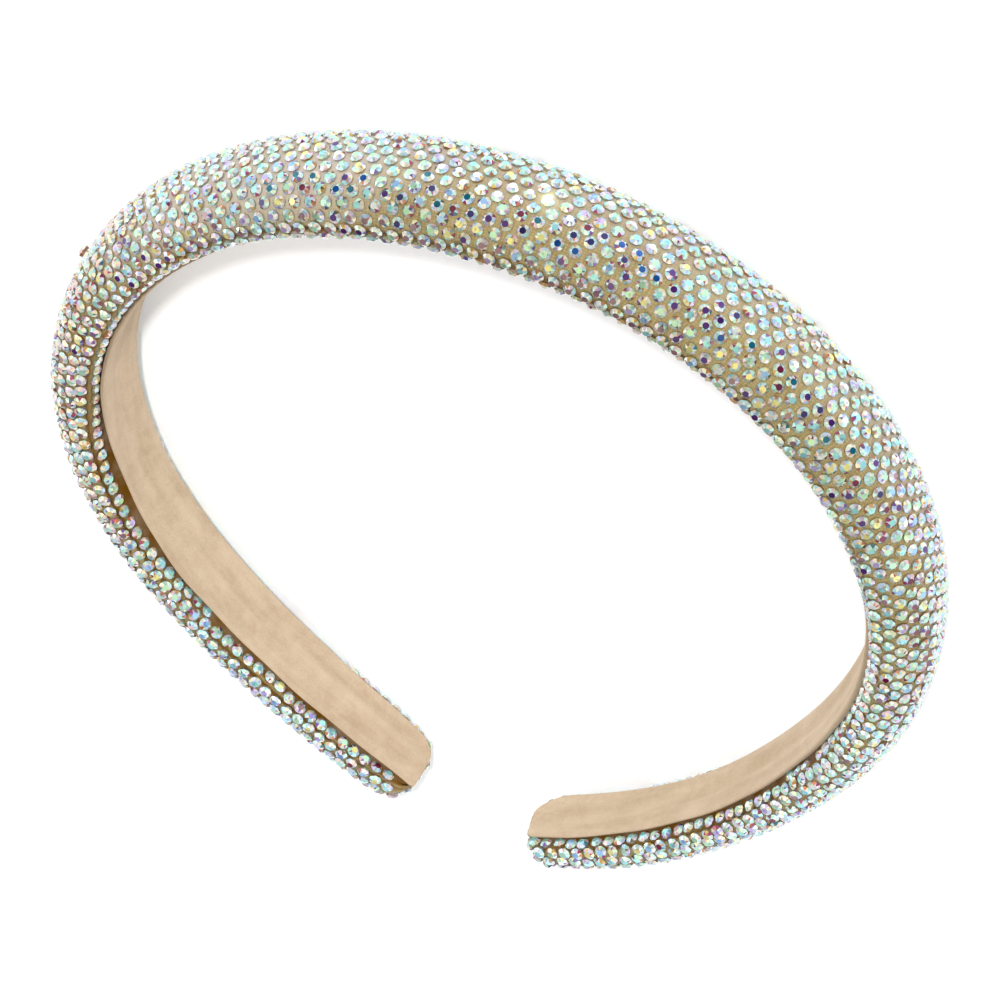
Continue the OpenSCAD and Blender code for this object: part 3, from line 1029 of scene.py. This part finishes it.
CARD_DISTANCE = 0.7
FLOOR_HALF = 6


def direction(azimuth, elevation):
    a, e = math.radians(azimuth), math.radians(elevation)
    return Vector((math.sin(a) * math.cos(e), -math.cos(a) * math.cos(e), math.sin(e)))


def studio_card(name, azimuth, elevation, width, height, strength, *colours):
    """A card that shows only in gloss; of several colours it is a mosaic."""
    towards = direction(azimuth, elevation)
    turned = towards.to_track_quat("Z", "Y").to_matrix()
    corners = [towards * CARD_DISTANCE + turned @ Vector((x * width / 2, y * height / 2, 0))
               for x, y in ((-1, -1), (1, -1), (1, 1), (-1, 1))]
    mesh = bpy.data.meshes.new(name)
    mesh.from_pydata([tuple(c) for c in corners], [], [(0, 1, 2, 3)])
    card = link(bpy.data.objects.new(name, mesh))
    made = bpy.data.materials.new(name)
    made.use_nodes = True
    nodes = Nodes(made.node_tree)
    made.node_tree.nodes.clear()
    glow = nodes.add("ShaderNodeEmission", {"Strength": strength, "Color": colours[0]})
    if len(colours) > 1:
        place = nodes.add("ShaderNodeTexCoord"), "Object"
        cells = nodes.add("ShaderNodeTexVoronoi", {"Vector": place, "Scale": 9.0})
        stops = [(k / len(colours), each) for k, each in enumerate(colours)]
        nodes.put(glow, "Color", nodes.ramp((cells, "Color"), stops, "CONSTANT"))
    nodes.add("ShaderNodeOutputMaterial", {"Surface": (glow, 0)})
    made.cycles.emission_sampling = "NONE"
    card.data.materials.append(made)
    card.visible_camera = card.visible_diffuse = card.visible_shadow = False
    card.visible_transmission = card.visible_volume_scatter = False


studio_card("dark_flag", 162, 15, 1.9, 0.46, 0.8, paint(0.22, 0.18, 0.34),
            paint(0.85, 0.92, 0.95), paint(0.30, 0.24, 0.40), paint(0.50, 0.45, 0.62),
            paint(0.16, 0.12, 0.22))
studio_card("warm_softbox", 170, 66, 0.9, 0.34, 1.7, paint(1.0, 0.97, 0.86))
studio_card("dusky_flag", 340, 52, 1.3, 0.55, 0.8, paint(0.48, 0.36, 0.46),
            paint(0.78, 0.76, 0.86), paint(0.40, 0.30, 0.42))
PALE = paint(0.95, 0.97, 1.0)
studio_card("left_softbox", 262, 22, 0.42, 0.5, 2.4, PALE)
studio_card("right_softbox", 68, 24, 0.36, 0.5, 2.0, PALE)
studio_card("back_strip", 5, 12, 0.7, 0.16, 1.8, PALE)

mesh = bpy.data.meshes.new("floor")
corners = [(x * FLOOR_HALF, y * FLOOR_HALF, 0) for x, y in ((-1, -1), (1, -1), (1, 1), (-1, 1))]
mesh.from_pydata(corners, [], [(0, 1, 2, 3)])
floor = link(bpy.data.objects.new("floor", mesh))
floor_paper, nodes, shader = new_finish("floor_paper")
place = nodes.add("ShaderNodeTexCoord"), "Object"
fibres = nodes.add("ShaderNodeTexNoise", {"Vector": place, "Scale": 900.0, "Detail": 3.0})
paper = nodes.ramp((fibres, 0), [(0.3, (0.90,) * 3 + (1,)), (0.7, (0.93,) * 3 + (1,))])
nodes.put_all(shader, {
    "Base Color": paper, "Roughness": 0.9, "Specular IOR Level": 0.2,
    "Emission Color": (1.0, 1.0, 1.0, 1.0), "Emission Strength": 0.16,
})
floor.data.materials.append(floor_paper)

world = bpy.data.worlds.new("studio")
world.use_nodes = True
Nodes(world.node_tree).put_all(world.node_tree.nodes["Background"], {
    "Color": (1, 1, 1, 1), "Strength": 0.8})
scene.world = world
scene.view_settings.view_transform = "Standard"

key_lamp = bpy.data.lights.new("key", "SUN")
key_lamp.energy = 2.2
key_lamp.angle = math.radians(5)
key = link(bpy.data.objects.new("key", key_lamp))
key.rotation_mode = "QUATERNION"
key.rotation_quaternion = Vector((0.147, 0.742, 0.654)).to_track_quat("Z", "Y")
key.visible_glossy = False

CAMERA_AZIMUTH, CAMERA_ELEVATION, CAMERA_ROLL = 162.74, 41.44, math.radians(-150.24)
CAMERA_DISTANCE, CAMERA_LENS, CAMERA_SENSOR = 0.9936, 237.66, 36
CAMERA_AIM = Vector((0.00167, 0.00552, 0.0098))
behind = direction(CAMERA_AZIMUTH, CAMERA_ELEVATION)
level = Vector((0, 0, 1)).cross(behind).normalized()
above = behind.cross(level)
right = level * math.cos(CAMERA_ROLL) + above * math.sin(CAMERA_ROLL)
camera = link(bpy.data.objects.new("camera", bpy.data.cameras.new("camera")))
camera.data.lens = CAMERA_LENS
camera.data.sensor_width = CAMERA_SENSOR
camera.data.clip_end = 50
camera.rotation_mode = "QUATERNION"
turned = Matrix((right, behind.cross(right), behind)).transposed()
camera.rotation_quaternion = turned.to_quaternion()
camera.location = CAMERA_AIM + behind * CAMERA_DISTANCE
scene.camera = camera

# The lens's slight glow round the brightest stone
scene.use_nodes = True
scene.node_tree.nodes.clear()
lens = Nodes(scene.node_tree)
picture = lens.add("CompositorNodeRLayers")
glow = lens.add("CompositorNodeGlare", {"Image": (picture, "Image"), "Threshold": 2.6,
                                        "Strength": 2.0, "Size": 0.08,
                                        "Tint": (0.96, 1.0, 0.62, 1.0)}, glare_type="BLOOM")
lens.add("CompositorNodeComposite", {"Image": (glow, "Image")})
